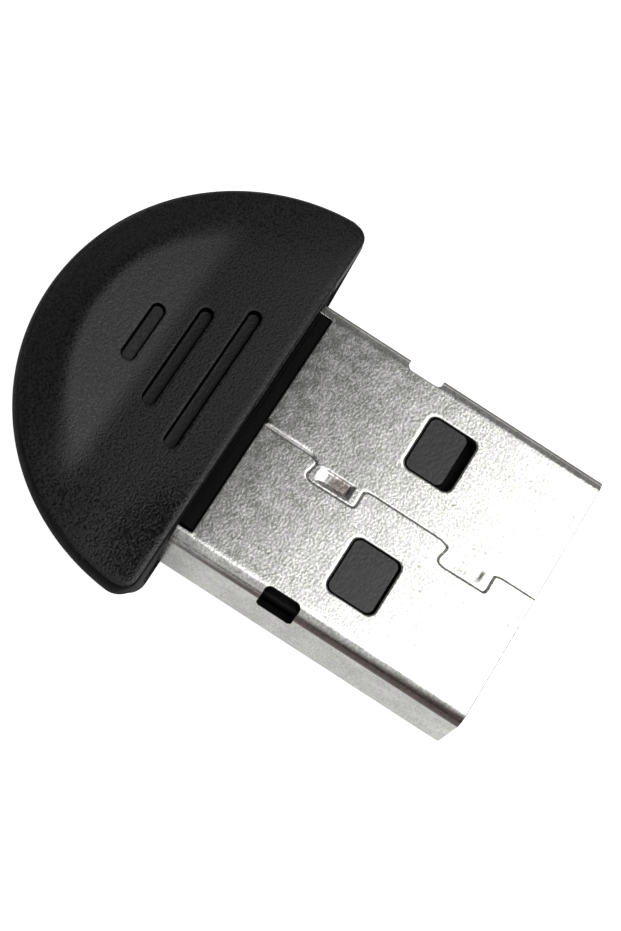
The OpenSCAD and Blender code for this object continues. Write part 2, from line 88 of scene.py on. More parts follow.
# the camera as the plug's straight edges give it: the frame's height and the lens, both in pixels
FRAME_HEIGHT, LENS_PIXELS, SENSOR = 931, 2205.63, 36
eye = bpy.data.cameras.new("photo_camera")
eye.lens = LENS_PIXELS * SENSOR / FRAME_HEIGHT
eye.sensor_fit = "VERTICAL"
eye.sensor_height = SENSOR
eye.clip_start = 0.004
eye.clip_end = 20
camera = bpy.data.objects.new("photo_camera", eye)
scene.collection.objects.link(camera)
right = Vector((0.5143764, -0.8395831, 0.1746916))
up = Vector((0.7910861, 0.5431925, 0.2812912))
back = Vector((-0.3310585, -0.0064935, 0.9435879))
turn = Matrix((right, up, back)).transposed().to_4x4()
camera.matrix_world = Matrix.Translation((-0.02948604, -0.00164341, 0.08849147)) @ turn
scene.camera = camera


def flat_box(name, corner, heading, width, depth, height, radiance):
    """A level soft box that faces down, from its rear left corner and the heading of its rear edge."""
    u = Vector((math.cos(heading), math.sin(heading), 0))
    v = Vector((u.y, -u.x, 0))
    light = bpy.data.lights.new(name, "AREA")
    light.shape = "RECTANGLE"
    light.size = width
    light.size_y = depth
    light.energy = radiance * math.pi * width * depth
    lamp = bpy.data.objects.new(name, light)
    scene.collection.objects.link(lamp)
    middle = Vector((*corner, height)) + u * width / 2 + v * depth / 2
    lamp.matrix_world = Matrix.Translation(middle) @ Matrix.Rotation(heading, 4, "Z")
    lamp.visible_camera = False


flat_box("front_box", (-0.039, 0.0115), math.radians(-15), 0.162, 0.075, 0.150, 2.36)
flat_box("side_card", (-1.20, 0.07), 0.0, 1.165, 0.200, 0.150, 0.50)

room = bpy.data.worlds.new("room")
scene.world = room
room.use_nodes = True
air = room.node_tree
air.nodes.clear()
# dim walls, a little lighter on the far side and behind the cap; the camera sees plain white
side = add(air, "ShaderNodeSeparateXYZ")
feed(air, side.inputs[0], add(air, "ShaderNodeTexCoord").outputs["Generated"])
far_wall = soft_step(air, side.outputs["X"], 0.35, 1.0, 0.06, 0.28)
rear_wall = soft_step(air, side.outputs["Y"], 0.25, 0.9, 0.0, 0.15)
shown = add(air, "ShaderNodeMix", data_type="FLOAT")
feed(air, shown.inputs[0], add(air, "ShaderNodeLightPath").outputs["Is Camera Ray"])
feed(air, shown.inputs[2], sums(air, "ADD", far_wall, rear_wall))
shown.inputs[3].default_value = 1.0
sky = add(air, "ShaderNodeBackground")
feed(air, sky.inputs["Strength"], shown.outputs[0])
feed(air, add(air, "ShaderNodeOutputWorld").inputs["Surface"], sky.outputs[0])

scene.view_settings.view_transform = "Standard"

bpy.ops.mesh.primitive_plane_add(size=3.0, location=(0, 0, 0))
table = bpy.context.object
table.name = "table_top"
white, tree = new_material("white_table")
matt = add(tree, "ShaderNodeBsdfDiffuse")
matt.inputs["Color"].default_value = (0.86, 0.86, 0.855, 1)
ray = add(tree, "ShaderNodeLightPath")
seen = sums(tree, "MAXIMUM", ray.outputs["Is Camera Ray"], ray.outputs["Is Transmission Ray"])
seen = sums(tree, "MULTIPLY", seen, 0.9)
glow = add(tree, "ShaderNodeEmission")
feed(tree, glow.inputs["Strength"], sums(tree, "MULTIPLY_ADD", ray.outputs["Is Glossy Ray"], 0.3, seen))
both = add(tree, "ShaderNodeAddShader")
feed(tree, both.inputs[0], matt.outputs[0])
feed(tree, both.inputs[1], glow.outputs[0])
feed(tree, add(tree, "ShaderNodeOutputMaterial").inputs["Surface"], both.outputs[0])
table.data.materials.append(white)

# Cap: a half-round moulding in matt black ABS with a sloping rim band, a raised
# ridge round a finger dish, and three grip grooves. Its cavity takes the carrier.


# the mouth's distance from the frame's middle, and the plug's axis above the table
MOUTH, AXIS = 11.505, 3.3


def place(x, y, z):
    """From millimetres on the plug's axis, y = 0 at the mouth, to metres in the frame."""
    return (x / 1000, (y - MOUTH) / 1000, (z + AXIS) / 1000)


# outline from above, then heights over and under the plug's axis, all in millimetres
CAP_FRONT, CAP_CENTRE, CAP_RADIUS, CORNER = 13.49, 13.68, 9.33, 0.88
RIM, FIELD, RIDGE, DROP = 3.3, 3.6, 4.16, 3.3
BAND, RIDGE_BLEND, DISH_START, DISH_BEND = 1.8, 0.22, 17.6, 0.8
EDGE, EDGE_TURN = 0.32, math.radians(80)
TILT, TILT_REACH = 0.09, 2.2
LEAN, FOOT, FOOT_SETBACK = 1.5, 0.9, 0.25
DISH_END = CAP_CENTRE + CAP_RADIUS - BAND
# [distance behind the straight edge, drop below the top]: a leaning face and a small radius
FRONT_EDGE = [(0.004, 0.84), (0.01, 0.65), (0.016, 0.45), (0.022, 0.27), (0.03, 0.15), (0.038, 0.095),
              (0.05, 0.058), (0.066, 0.03), (0.09, 0.01), (0.12, 0.0)]


def d_outline(radius, front, corner, side=48, turn_steps=12, arc=170):
    """Straight front edge, two corners and the arc, anticlockwise from above."""
    cx = math.sqrt((radius - corner) ** 2 - (front + corner - CAP_CENTRE) ** 2)
    a = math.atan2(front + corner - CAP_CENTRE, cx)
    line = [(cx * (2 * i / side - 1), front) for i in range(1, side)]
    for i in range(turn_steps):
        t = -math.pi / 2 + (a + math.pi / 2) * i / turn_steps
        line.append((cx + corner * math.cos(t), front + corner + corner * math.sin(t)))
    for i in range(arc + 1):
        t = a + (math.pi - 2 * a) * i / arc
        line.append((radius * math.cos(t), CAP_CENTRE + radius * math.sin(t)))
    for i in range(1, turn_steps + 1):
        t = math.pi - a + (a + math.pi / 2) * i / turn_steps
        line.append((-cx + corner * math.cos(t), front + corner + corner * math.sin(t)))
    return line


def eased(d):
    return d * d / (2 * DISH_BEND) if d < DISH_BEND else d - DISH_BEND / 2


def dish_height(y):
    return FIELD + (RIDGE - FIELD) * eased(max(y - DISH_START, 0)) / eased(DISH_END - DISH_START)


def top_height(x, y):
    """The sloping band and the dish, blended along a ridge that keeps its distance from the rim."""
    d = max(math.hypot(x, y - CAP_CENTRE), 1)
    ridge = dish_height(CAP_CENTRE + (y - CAP_CENTRE) * (CAP_RADIUS - BAND) / d)
    band, dish = RIM + (CAP_RADIUS - d) * (ridge - RIM) / BAND, dish_height(y)
    h = max(RIDGE_BLEND - abs(band - dish), 0) / RIDGE_BLEND
    front = max(1 - (y - CAP_FRONT) / TILT_REACH, 0) ** 2
    return min(band, dish) - h * h * RIDGE_BLEND / 4 - TILT * front * x / CAP_RADIUS


# [distance inside the groove's edge, drop], then each groove's y, length and share of the drop
GROOVE_PROFILE = [(-0.04, 0.0), (-0.02, 0.004), (-0.006, 0.014), (0.002, 0.035), (0.008, 0.08),
                  (0.02, 0.27), (0.03, 0.315), (0.05, 0.34), (0.08, 0.35)]
GROOVES = [(15.5 + i * 1.65, 6.8 - i * 2.02, (1.0, 1.0, 0.6)[i]) for i in range(3)]
GROOVE_HALF = 0.3


def groove_inside(x, y, groove):
    reach = groove[1] / 2 - GROOVE_HALF
    return GROOVE_HALF - math.hypot(max(abs(x) - reach, 0), y - groove[0])


def groove_drop(x, y):
    deepest = 0.0
    for groove in GROOVES:
        s = groove_inside(x, y, groove)
        deepest = max(deepest, groove[2] * float(np.interp(s, *zip(*GROOVE_PROFILE))))
    return deepest


def pill_line(groove, inside):
    """Points round a groove at that distance inside its edge."""
    r, reach = GROOVE_HALF - inside, groove[1] / 2 - GROOVE_HALF
    straight, bend = int(reach / 0.07), 18
    line = [(reach * (2 * i / straight - 1), -r) for i in range(straight)]
    line += [(reach + r * math.sin(math.pi * i / bend), -r * math.cos(math.pi * i / bend))
             for i in range(bend)]
    line += [(reach * (1 - 2 * i / straight), r) for i in range(straight)]
    line += [(-reach - r * math.sin(math.pi * i / bend), r * math.cos(math.pi * i / bend))
             for i in range(bend)]
    return [(x, groove[0] + y) for x, y in line]


def mesh_piece(name, points, faces):
    mesh = bpy.data.meshes.new(name)
    mesh.from_pydata(points, [], faces)
    piece = bpy.data.objects.new(name, mesh)
    scene.collection.objects.link(piece)
    mesh.shade_smooth()
    return piece


def add_ring(plan, edges, ring):
    """Adds a closed ring of points, and the edges between them, to a flat plan."""
    first = len(plan)
    plan += [Vector(p) for p in ring]
    edges += [(first + i, first + (i + 1) % len(ring)) for i in range(len(ring))]


def stacked_faces(n, levels):
    """The bottom face and the walls between rings of n points that stand one over the other."""
    made = [tuple(reversed(range(n)))]
    for j in range(levels - 1):
        for i in range(n):
            k = (i + 1) % n
            made.append((j * n + i, j * n + k, (j + 1) * n + k, (j + 1) * n + i))
    return made


# the round foot, the leaning wall, and the edge that turns into the top
rings = []
for i in range(9):
    t = math.pi / 2 * i / 8
    radius = CAP_RADIUS - (LEAN + FOOT * (1 - math.sin(t)))
    front = CAP_FRONT + FOOT_SETBACK * (1 - math.sin(t))
    rings.append([place(x, y, FOOT * (1 - math.cos(t)) - DROP) for x, y in d_outline(radius, front, CORNER)])
low, high = FOOT - DROP, RIM - 2 * EDGE
for i in range(1, 9):
    rings.append([place(x, y, low + (high - low) * i / 8)
                  for x, y in d_outline(CAP_RADIUS - LEAN * (1 - i / 8), CAP_FRONT, CORNER)])
base = np.array(d_outline(CAP_RADIUS, CAP_FRONT, CORNER))
along = np.roll(base, -1, 0) - np.roll(base, 1, 0)
outwards = np.c_[along[:, 1], -along[:, 0]] / np.linalg.norm(along, axis=1)[:, None]
straight = np.clip((-outwards[:, 1] - 0.3) / 0.6, 0, 1)[:, None]
for i, (front_inset, front_drop) in enumerate(FRONT_EDGE, 1):
    t = EDGE_TURN * i / len(FRONT_EDGE)
    moved = straight * front_inset + (1 - straight) * EDGE * (1 - math.cos(t))
    flat = base - outwards * moved
    round_part = 1 - math.sin(t) / math.sin(EDGE_TURN)
    ring = []
    for (x, y), share in zip(flat, straight[:, 0]):
        top = top_height(x, y)
        ring.append(place(x, y, top - share * front_drop - (1 - share) * (top - high) * round_part))
    rings.append(ring)
points = [p for ring in rings for p in ring]
n = len(rings[0])
faces = stacked_faces(n, len(rings))

# the top: rings round each groove and an even field of points clear of grooves and edge
plan, edges = [], []
add_ring(plan, edges, flat)
for groove in GROOVES:
    for inside in [s for s, drop in GROOVE_PROFILE] + [0.23]:
        add_ring(plan, edges, pill_line(groove, inside))
STEP, ROW, ROWS, COLUMNS = 0.17, 0.87, 58, 60
FRONT_CLEAR, EDGE_CLEAR, SIDE_CLEAR, GROOVE_CLEAR = 0.4, 0.36, 0.5, 0.12
for j in range(ROWS):
    y = CAP_FRONT + FRONT_CLEAR + j * STEP * ROW
    for i in range(-COLUMNS, COLUMNS + 1):
        x = (i + 0.5 * (j % 2)) * STEP
        edge_gap = CAP_RADIUS - EDGE_CLEAR - math.hypot(x, y - CAP_CENTRE)
        if edge_gap < 0 or abs(x) > CAP_RADIUS - SIDE_CLEAR:
            continue
        if max(groove_inside(x, y, g) for g in GROOVES) < -GROOVE_CLEAR:
            plan.append(Vector((x, y)))
spots, _, tris, _, _, _ = delaunay_2d_cdt(plan, edges, [list(range(n))], 1, 1e-6)
first = len(points)
points += [place(p.x, p.y, top_height(p.x, p.y) - groove_drop(p.x, p.y)) for p in spots]
faces += [tuple(first + i for i in tri) for tri in tris]
cap = mesh_piece("cap_moulding", points, faces)
shape = bmesh.new()
shape.from_mesh(cap.data)
bmesh.ops.remove_doubles(shape, verts=shape.verts, dist=2e-6)
bmesh.ops.recalc_face_normals(shape, faces=shape.faces)
shape.to_mesh(cap.data)
shape.free()

# the cavity that the carrier and the board sit in, open at the straight edge
LOW_WALL, SIDE_WALL, FLOOR_WALL, TOP_WALL = LEAN + 0.9, 1.2, 0.8, 1.0
space = []
for t in (0, 0.25, 0.5, 0.75, 1):
    r = CAP_RADIUS - LOW_WALL + t * (LOW_WALL - SIDE_WALL)
    z = FLOOR_WALL - DROP + t * (FIELD - TOP_WALL - FLOOR_WALL + DROP)
    ring = [(-r, CAP_FRONT - 1), (r, CAP_FRONT - 1)]
    ring += [(r * math.cos(math.pi * i / 64), CAP_CENTRE + r * math.sin(math.pi * i / 64))
             for i in range(65)]
    space.append([place(x, y, z) for x, y in ring])
n = len(space[0])
faces = stacked_faces(n, len(space))
faces.insert(1, tuple((len(space) - 1) * n + i for i in range(n)))
cavity = mesh_piece("cap_cavity", [p for ring in space for p in ring], faces)
cut = cap.modifiers.new("cavity", "BOOLEAN")
cut.object = cavity
cut.operation = "DIFFERENCE"
cut.solver = "EXACT"


def made_solid(piece):
    """The piece's modifiers applied to its mesh."""
    graph = bpy.context.evaluated_depsgraph_get()
    mesh = bpy.data.meshes.new_from_object(piece.evaluated_get(graph))
    piece.modifiers.clear()
    old = piece.data
    piece.data = mesh
    bpy.data.meshes.remove(old)
    mesh.name = piece.name


made_solid(cap)
bpy.data.objects.remove(cavity)
cap.data.set_sharp_from_angle(angle=math.radians(35))


def grain_group():
    """Fine grain in millimetres on the piece: a height for bump, and a mask for colour."""
    made = bpy.data.node_groups.new("fine_grain", "ShaderNodeTree")
    face = made.interface
    face.new_socket("Grains per mm", in_out="INPUT", socket_type="NodeSocketFloat")
    face.new_socket("Detail", in_out="INPUT", socket_type="NodeSocketFloat")
    face.new_socket("Height", in_out="OUTPUT", socket_type="NodeSocketFloat")
    face.new_socket("Mask", in_out="OUTPUT", socket_type="NodeSocketFloat")
    start, end = add(made, "NodeGroupInput"), add(made, "NodeGroupOutput")
    where = add(made, "ShaderNodeTexCoord")
    scale = add(made, "ShaderNodeVectorMath", operation="SCALE")
    feed(made, scale.inputs[0], where.outputs["Object"])
    scale.inputs["Scale"].default_value = 1000.0
    noise = add(made, "ShaderNodeTexNoise")
    feed(made, noise.inputs["Vector"], scale.outputs[0])
    feed(made, noise.inputs["Scale"], start.outputs["Grains per mm"])
    feed(made, noise.inputs["Detail"], start.outputs["Detail"])
    noise.inputs["Roughness"].default_value = 0.6
    feed(made, end.inputs["Height"], noise.outputs[0])
    feed(made, end.inputs["Mask"], soft_step(made, noise.outputs[0], 0.3, 0.7))
    return made


fine_grain = grain_group()


def grain(tree, per_mm, detail):
    made = add(tree, "ShaderNodeGroup", node_tree=fine_grain)
    made.inputs["Grains per mm"].default_value = per_mm
    made.inputs["Detail"].default_value = detail
    return made


def tints(tree, mask, first, second):
    made = add(tree, "ShaderNodeMix", data_type="RGBA")
    feed(tree, made.inputs[0], mask)
    made.inputs[6].default_value = (*first, 1)
    made.inputs[7].default_value = (*second, 1)
    return made.outputs[2]


def between(tree, mask, low, high):
    made = add(tree, "ShaderNodeMapRange")
    feed(tree, made.inputs["Value"], mask)
    made.inputs["To Min"].default_value = low
    made.inputs["To Max"].default_value = high
    return made.outputs[0]


def bumped(tree, height, distance):
    made = add(tree, "ShaderNodeBump")
    made.inputs["Strength"].default_value = 1.0
    made.inputs["Distance"].default_value = distance
    feed(tree, made.inputs["Height"], height)
    return made.outputs[0]


def surface(tree, **values):
    """A Principled shader with its own constant sockets set and its maps linked."""
    made = add(tree, "ShaderNodeBsdfPrincipled")
    for name, value in values.items():
        feed(tree, made.inputs[name.replace("_", " ")], value)
    feed(tree, add(tree, "ShaderNodeOutputMaterial").inputs["Surface"], made.outputs[0])


def spot_mask(tree, middle, reach, near, far):
    """1 round a spot in the piece, 0 far from it, with its reach along each axis in millimetres."""
    where = add(tree, "ShaderNodeTexCoord")
    moved = add(tree, "ShaderNodeVectorMath", operation="SUBTRACT")
    feed(tree, moved.inputs[0], where.outputs["Object"])
    moved.inputs[1].default_value = place(*middle)
    scaled = add(tree, "ShaderNodeVectorMath", operation="MULTIPLY")
    feed(tree, scaled.inputs[0], moved.outputs[0])
    scaled.inputs[1].default_value = [1000 / r if r else 0 for r in reach]
    length = add(tree, "ShaderNodeVectorMath", operation="LENGTH")
    feed(tree, length.inputs[0], scaled.outputs[0])
    return soft_step(tree, length.outputs["Value"], near, far, 1.0, 0.0)


def moulded_plastic(name, dark, light, rough, depth, per_mm=7.0, shine=0.5, worn=False):
    """Spark-eroded plastic: fine pits, a little colour and gloss variation."""
    made, tree = new_material(name)
    pits, patches = grain(tree, per_mm, 2.0), grain(tree, 0.6, 3.0)
    spread, mottle = (0.12, pits) if worn else (0.07, patches)
    gloss = between(tree, pits.outputs["Mask"], rough - spread, rough + spread)
    if worn:
        # polished where a thumb rubs the near front corner, duller towards the far one
        for middle, reach, near, far, change in (((-7.2, 13.9, 0), (2.6, 1.6, 0), 0.4, 1.5, -0.13),
                                                 ((-9.0, 15.0, 0), (6.0, 6.0, 0), 0.2, 1.5, -0.09),
                                                 ((8.0, 16.0, 0), (8.0, 8.0, 0), 0.1, 1.2, 0.07)):
            spot = spot_mask(tree, middle, reach, near, far)
            gloss = sums(tree, "MULTIPLY_ADD", spot, change, gloss)
    surface(tree,
            Base_Color=tints(tree, mottle.outputs["Mask"], dark, light),
            Roughness=gloss,
            Specular_IOR_Level=shine,
            Normal=bumped(tree, pits.outputs["Height"], depth))
    return made


cap.data.materials.clear()
cap.data.materials.append(
    moulded_plastic("cap_black", (0.0003, 0.0003, 0.0004), (0.021, 0.021, 0.0215),
                    rough=0.38, depth=0.000016, per_mm=10.0, shine=0.46, worn=True))
# darker, duller copies of the same plastic: painted shade in the grooves' floors and walls and on the rim
cap.data.materials.append(
    moulded_plastic("groove_floor_shade", (0.0035, 0.0035, 0.004), (0.0055, 0.0055, 0.006),
                    rough=0.5, depth=0.00002, per_mm=8.0, shine=0.4))
cap.data.materials.append(
    moulded_plastic("groove_wall_shade", (0.001, 0.001, 0.001), (0.002, 0.002, 0.002),
                    rough=0.7, depth=0.00001, per_mm=8.0, shine=0.05))
cap.data.materials.append(
    moulded_plastic("rim_black_shade", (0.003, 0.003, 0.0033), (0.01, 0.01, 0.0105),
                    rough=0.6, depth=0.00002, per_mm=8.5, shine=0.12))
# the groove walls' darker, duller copy, painted shade, is also on the face towards the plug, and the rim's
# darker copy, painted shade that hides its reflection, on the turned edge round the cap and down its near
# front corner
GROOVE_FLOOR_SHADE, GROOVE_WALL_SHADE, ROUND_RIM_SHADE = 1, 2, 3
for face in cap.data.polygons:
    x, y, z = face.center.x * 1000, face.center.y * 1000 + MOUTH, face.center.z * 1000
    depth = max(groove_inside(x, y, g) for g in GROOVES)
    outer = z > 5.9 or x < -7 and y < 15.5
    if z > 6.2 and depth > -0.002:
        face.material_index = GROOVE_FLOOR_SHADE if depth > 0.07 else GROOVE_WALL_SHADE
    elif y < CAP_FRONT + 0.028 and abs(x) < 6.4:
        face.material_index = GROOVE_WALL_SHADE
    elif outer and face.normal.z < 0.7 and (face.normal.y > -0.5 or x < 0):
        face.material_index = ROUND_RIM_SHADE
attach(cap, "root")
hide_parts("cap")

# Plug shell: 0.3 mm tin-plated steel, stamped, folded round and closed by a
# dovetailed seam in its top face. Its cut edges are slightly rounded.


def shell_metal(name):
    """Dull tin plate with a soft mottle of flecks and a few dark pits."""
    made, tree = new_material(name)
    flecks, blotches, pits = grain(tree, 8.5, 1.5), grain(tree, 2.2, 2.0), grain(tree, 5.0, 1.0)
    dull = tints(tree, blotches.outputs["Mask"], (0.63, 0.65, 0.575), (0.65, 0.63, 0.64))
    bright = tints(tree, blotches.outputs["Mask"], (0.97, 0.97, 0.92), (0.97, 0.955, 0.95))
    colour = add(tree, "ShaderNodeMix", data_type="RGBA")
    for k, source in ((0, flecks.outputs["Mask"]), (6, dull), (7, bright)):
        feed(tree, colour.inputs[k], source)
    where = add(tree, "ShaderNodeSeparateXYZ")
    feed(tree, where.inputs[0], add(tree, "ShaderNodeTexCoord").outputs["Object"])
    # darker in the pits, cloudy over the sheet, and painted shade where it runs under the cap
    hole = soft_step(tree, pits.outputs["Height"], 0.25, 0.31, 0.65, 1.0)
    clouds = between(tree, grain(tree, 0.9, 2.0).outputs["Mask"], 0.84, 1.06)
    painted_cap_shade = soft_step(tree, where.outputs["Y"], -0.0001, 0.0016, 1.0, 0.7)
    darker = add(tree, "ShaderNodeVectorMath", operation="SCALE")
    feed(tree, darker.inputs[0], colour.outputs[2])
    feed(tree, darker.inputs["Scale"], sums(tree, "MULTIPLY", sums(tree, "MULTIPLY", hole, clouds), painted_cap_shade))
    # painted brown shade low in the two top bends, wider towards the mouth on the near side, and in a stake
    # mark
    widening = sums(tree, "MULTIPLY_ADD", where.outputs["Y"], -0.022, -0.000113)
    near = soft_step(tree, sums(tree, "SUBTRACT", widening, where.outputs["X"]), 0.00568, 0.0059)
    far = soft_step(tree, where.outputs["X"], 0.00573, 0.00581)
    bend_height = soft_step(tree, where.outputs["Z"], 0.00482, 0.00502)
    painted_bend_shade = add(tree, "ShaderNodeMix", data_type="RGBA", blend_type="MULTIPLY")
    feed(tree, painted_bend_shade.inputs[0], sums(tree, "MULTIPLY", sums(tree, "MAXIMUM", near, far), bend_height))
    feed(tree, painted_bend_shade.inputs[6], darker.outputs[0])
    painted_bend_shade.inputs[7].default_value = (0.17, 0.14, 0.135, 1)
    # painted brown shade in the hollow of the rear stake mark
    painted_stake_shade = add(tree, "ShaderNodeMix", data_type="RGBA", blend_type="MULTIPLY")
    feed(tree, painted_stake_shade.inputs[0], spot_mask(tree, (-0.45, 8.95, 0), (0.34, 0.5, 0), 0.7, 1.1))
    feed(tree, painted_stake_shade.inputs[6], painted_bend_shade.outputs[2])
    painted_stake_shade.inputs[7].default_value = (0.52, 0.46, 0.44, 1)
    surface(tree, Base_Color=painted_stake_shade.outputs[2], Metallic=1.0,
            Roughness=between(tree, blotches.outputs["Mask"], 0.20, 0.26),
            Normal=bumped(tree, flecks.outputs["Height"], 0.0000045))
    return made


# the standard plug, the length of its plates and of the tails that are soldered to the board
PLUG_W, PLUG_H, SHEET, BEND = 12.0, 4.5, 0.3, 0.62
PLATE, TAIL_END, SEAM_GAP = 12.91, 15.21, 0.024
FLAT, SIDE, ARC = PLUG_W / 2 - BEND, PLUG_H - 2 * BEND, BEND * math.pi / 2
BOTTOM = FLAT + 2 * ARC + SIDE
ROUND = 4 * FLAT + 2 * SIDE + 4 * ARC
# the windows in one face: middle across and along, half width and length, corner
WINDOW_PAIR = [(side * 3.05, 6.26, 1.3, 1.1, 0.35) for side in (-1, 1)]
# the side slots, round the outside from the seam, then along: start and end, middle, half length, corner
SLOT_START, SLOT_END = 5.45, FLAT + ARC + 0.83
SLOT_MIDDLE, SLOT_HALF, SLOT_CORNER = 8.5, 0.8, 0.25
# the seam's two dovetails, front and rear, and the chamfer behind them on one side of it
DOVETAILS = [(1.86, 4.16), (8.06, 10.36)]
CHAMFER_FRONT, CHAMFER_WIDTH, CHAMFER_SLOPE = 10.35, 0.13, 0.42


def fold(s, y, depth):
    """The flat blank folded round: s runs from the seam round the outside, depth goes inwards."""
    mirror = -1 if s > ROUND / 2 else 1
    s = min(s, ROUND - s)
    r = BEND - depth
    if s <= FLAT:
        x, z = s, PLUG_H / 2 - depth
    elif s <= FLAT + ARC:
        t = (s - FLAT) / BEND
        x, z = FLAT + r * math.sin(t), PLUG_H / 2 - BEND + r * math.cos(t)
    elif s <= FLAT + ARC + SIDE:
        x, z = PLUG_W / 2 - depth, PLUG_H / 2 - BEND - (s - FLAT - ARC)
    elif s <= BOTTOM:
        t = (s - FLAT - ARC - SIDE) / BEND
        x, z = FLAT + r * math.cos(t), BEND - PLUG_H / 2 - r * math.sin(t)
    else:
        x, z = 2 * FLAT + 2 * ARC + SIDE - s, depth - PLUG_H / 2
    return place(mirror * x, y, z)


def rounded(line, r, steps=5):
    """An open line with its inner corners rounded."""
    made = [line[0]]
    for a, p, b in zip(line, line[1:], line[2:]):
        a, p, b = np.array(a), np.array(p), np.array(b)
        start = p + (a - p) * min(r / np.linalg.norm(a - p), 0.45)
        end = p + (b - p) * min(r / np.linalg.norm(b - p), 0.45)
        for k in range(steps + 1):
            t = k / steps
            made.append(tuple(start * (1 - t) ** 2 + p * 2 * t * (1 - t) + end * t * t))
    return made + [line[-1]]


def divided(line, longest):
    """The same line with no stretch longer than that."""
    made = [line[0]]
    for a, b in zip(line, line[1:]):
        parts = max(1, math.ceil(math.dist(a, b) / longest))
        made += [(a[0] + (b[0] - a[0]) * k / parts, a[1] + (b[1] - a[1]) * k / parts)
                 for k in range(1, parts + 1)]
    return made


def seam_line(shift):
    """One edge of the seam, from the mouth back, round its two dovetails."""
    line = [(0, 0)]
    for front, rear in DOVETAILS:
        line += [(0, front - 0.35), (-0.05, front), (-0.92, front - 0.02), (-0.95, rear - 0.24),
                 (-0.81, rear + 0.03), (-0.12, rear - 0.13), (0, rear + 0.3)]
    return [(x + shift, y) for x, y in rounded(line + [(0, PLATE)], 0.17)]


right_edge = seam_line(SEAM_GAP / 2)
left_edge = [(ROUND + x, y) for x, y in seam_line(-SEAM_GAP / 2)]
blank = divided(left_edge + [(ROUND - FLAT, PLATE), (ROUND - FLAT, TAIL_END), (ROUND - BOTTOM, TAIL_END),
                             (ROUND - BOTTOM, PLATE), (BOTTOM, PLATE), (BOTTOM, TAIL_END),
                             (FLAT, TAIL_END), (FLAT, PLATE)] + right_edge[::-1], 0.12)
blank = blank + divided([blank[-1], blank[0]], 0.12)[1:-1]


def inset(loop, distance):
    """A closed anticlockwise loop moved inwards."""
    p = np.array(loop)
    a, b = np.roll(p, 1, 0) - p, np.roll(p, -1, 0) - p
    a /= np.linalg.norm(a, axis=1)[:, None]
    b /= np.linalg.norm(b, axis=1)[:, None]
    n = np.c_[-b[:, 1], b[:, 0]] + np.c_[a[:, 1], -a[:, 0]]
    n /= np.linalg.norm(n, axis=1)[:, None]
    lean = np.clip(np.abs((n * np.c_[-b[:, 1], b[:, 0]]).sum(1)), 0.6, 1)
    return p + n * (distance / lean)[:, None]


def rounded_box(cx, cy, hx, hy, r, grow, corner=9):
    """Points round an opening, grown outwards by that much."""
    made, r = [], r + grow
    for k, (sx, sy) in enumerate(((1, 1), (-1, 1), (-1, -1), (1, -1))):
        for i in range(corner + 1):
            t = math.pi / 2 * (k + i / corner)
            made.append((cx + sx * (hx + grow - r) + r * math.cos(t),
                         cy + sy * (hy + grow - r) + r * math.sin(t)))
    return divided(made + made[:1], 0.14)[:-1]


# two windows in each face, and a slot in each upper bend
windows, slots = [], []
for x, y, hx, hy, r in WINDOW_PAIR:
    windows.append((x if x > 0 else ROUND + x, y, hx, hy, r))
    windows.append((ROUND / 2 + x, y, hx, hy, r))
for middle in ((SLOT_START + SLOT_END) / 2, ROUND - (SLOT_START + SLOT_END) / 2):
    slots.append((middle, SLOT_MIDDLE, (SLOT_END - SLOT_START) / 2, SLOT_HALF, SLOT_CORNER))
openings = windows + slots


def opening_gap(s, y, opening):
    """Distance outside an opening's edge."""
    cx, cy, hx, hy, r = opening
    dx, dy = abs(s - cx) - hx + r, abs(y - cy) - hy + r
    return math.hypot(max(dx, 0), max(dy, 0)) + min(max(dx, dy), 0) - r


blank_array = np.array(blank)
blank_next = np.roll(blank_array, -1, 0) - blank_array


def edge_gap_of(s, y):
    """Distance to the blank's outline, and how far that edge faces the plug's mouth, 0 to 1."""
    p = np.array((s, y)) - blank_array
    t = np.clip((p * blank_next).sum(1) / (blank_next ** 2).sum(1), 0, 1)
    away = np.sqrt(((p - blank_next * t[:, None]) ** 2).sum(1))
    k = int(away.argmin())
    return float(away[k]), max(0.0, float(blank_next[k, 0] / np.linalg.norm(blank_next[k])))


def in_outline(s, y):
    a, b = blank_array, np.roll(blank_array, -1, 0)
    cross = (a[:, 1] > y) != (b[:, 1] > y)
    with np.errstate(divide="ignore", invalid="ignore"):
        x = a[:, 0] + (y - a[:, 1]) / (b[:, 1] - a[:, 1]) * (b[:, 0] - a[:, 0])
    return bool((cross & (s < x)).sum() % 2)


def rolled(gap, width, depth):
    """How far a cut edge has rolled over at that distance from it."""
    if gap >= width:
        return 0.0
    return depth * (1 - math.sqrt(max(0.0, 1 - (1 - gap / width) ** 2)))


# depth of the mark and length of its outer slope, for each dovetail
STAKES = [(0.015, 0.32), (0.055, 0.18)]


def pressed(s, y):
    """The stake marks pressed into the two dovetails, positive downwards."""
    x, made = (s if s < ROUND / 2 else s - ROUND), 0.0
    for (front, rear), (deep, slope) in zip(DOVETAILS, STAKES):
        across = min(max(min((x + 0.84) / slope, (-0.10 - x) / 0.10), 0), 1)
        along = min(max(min((y - front - 0.36) / 0.22, (rear - 0.30 - y) / 0.42), 0), 1)
        made = max(made, deep * across * across * (3 - 2 * across) * along * along * (3 - 2 * along))
    return made


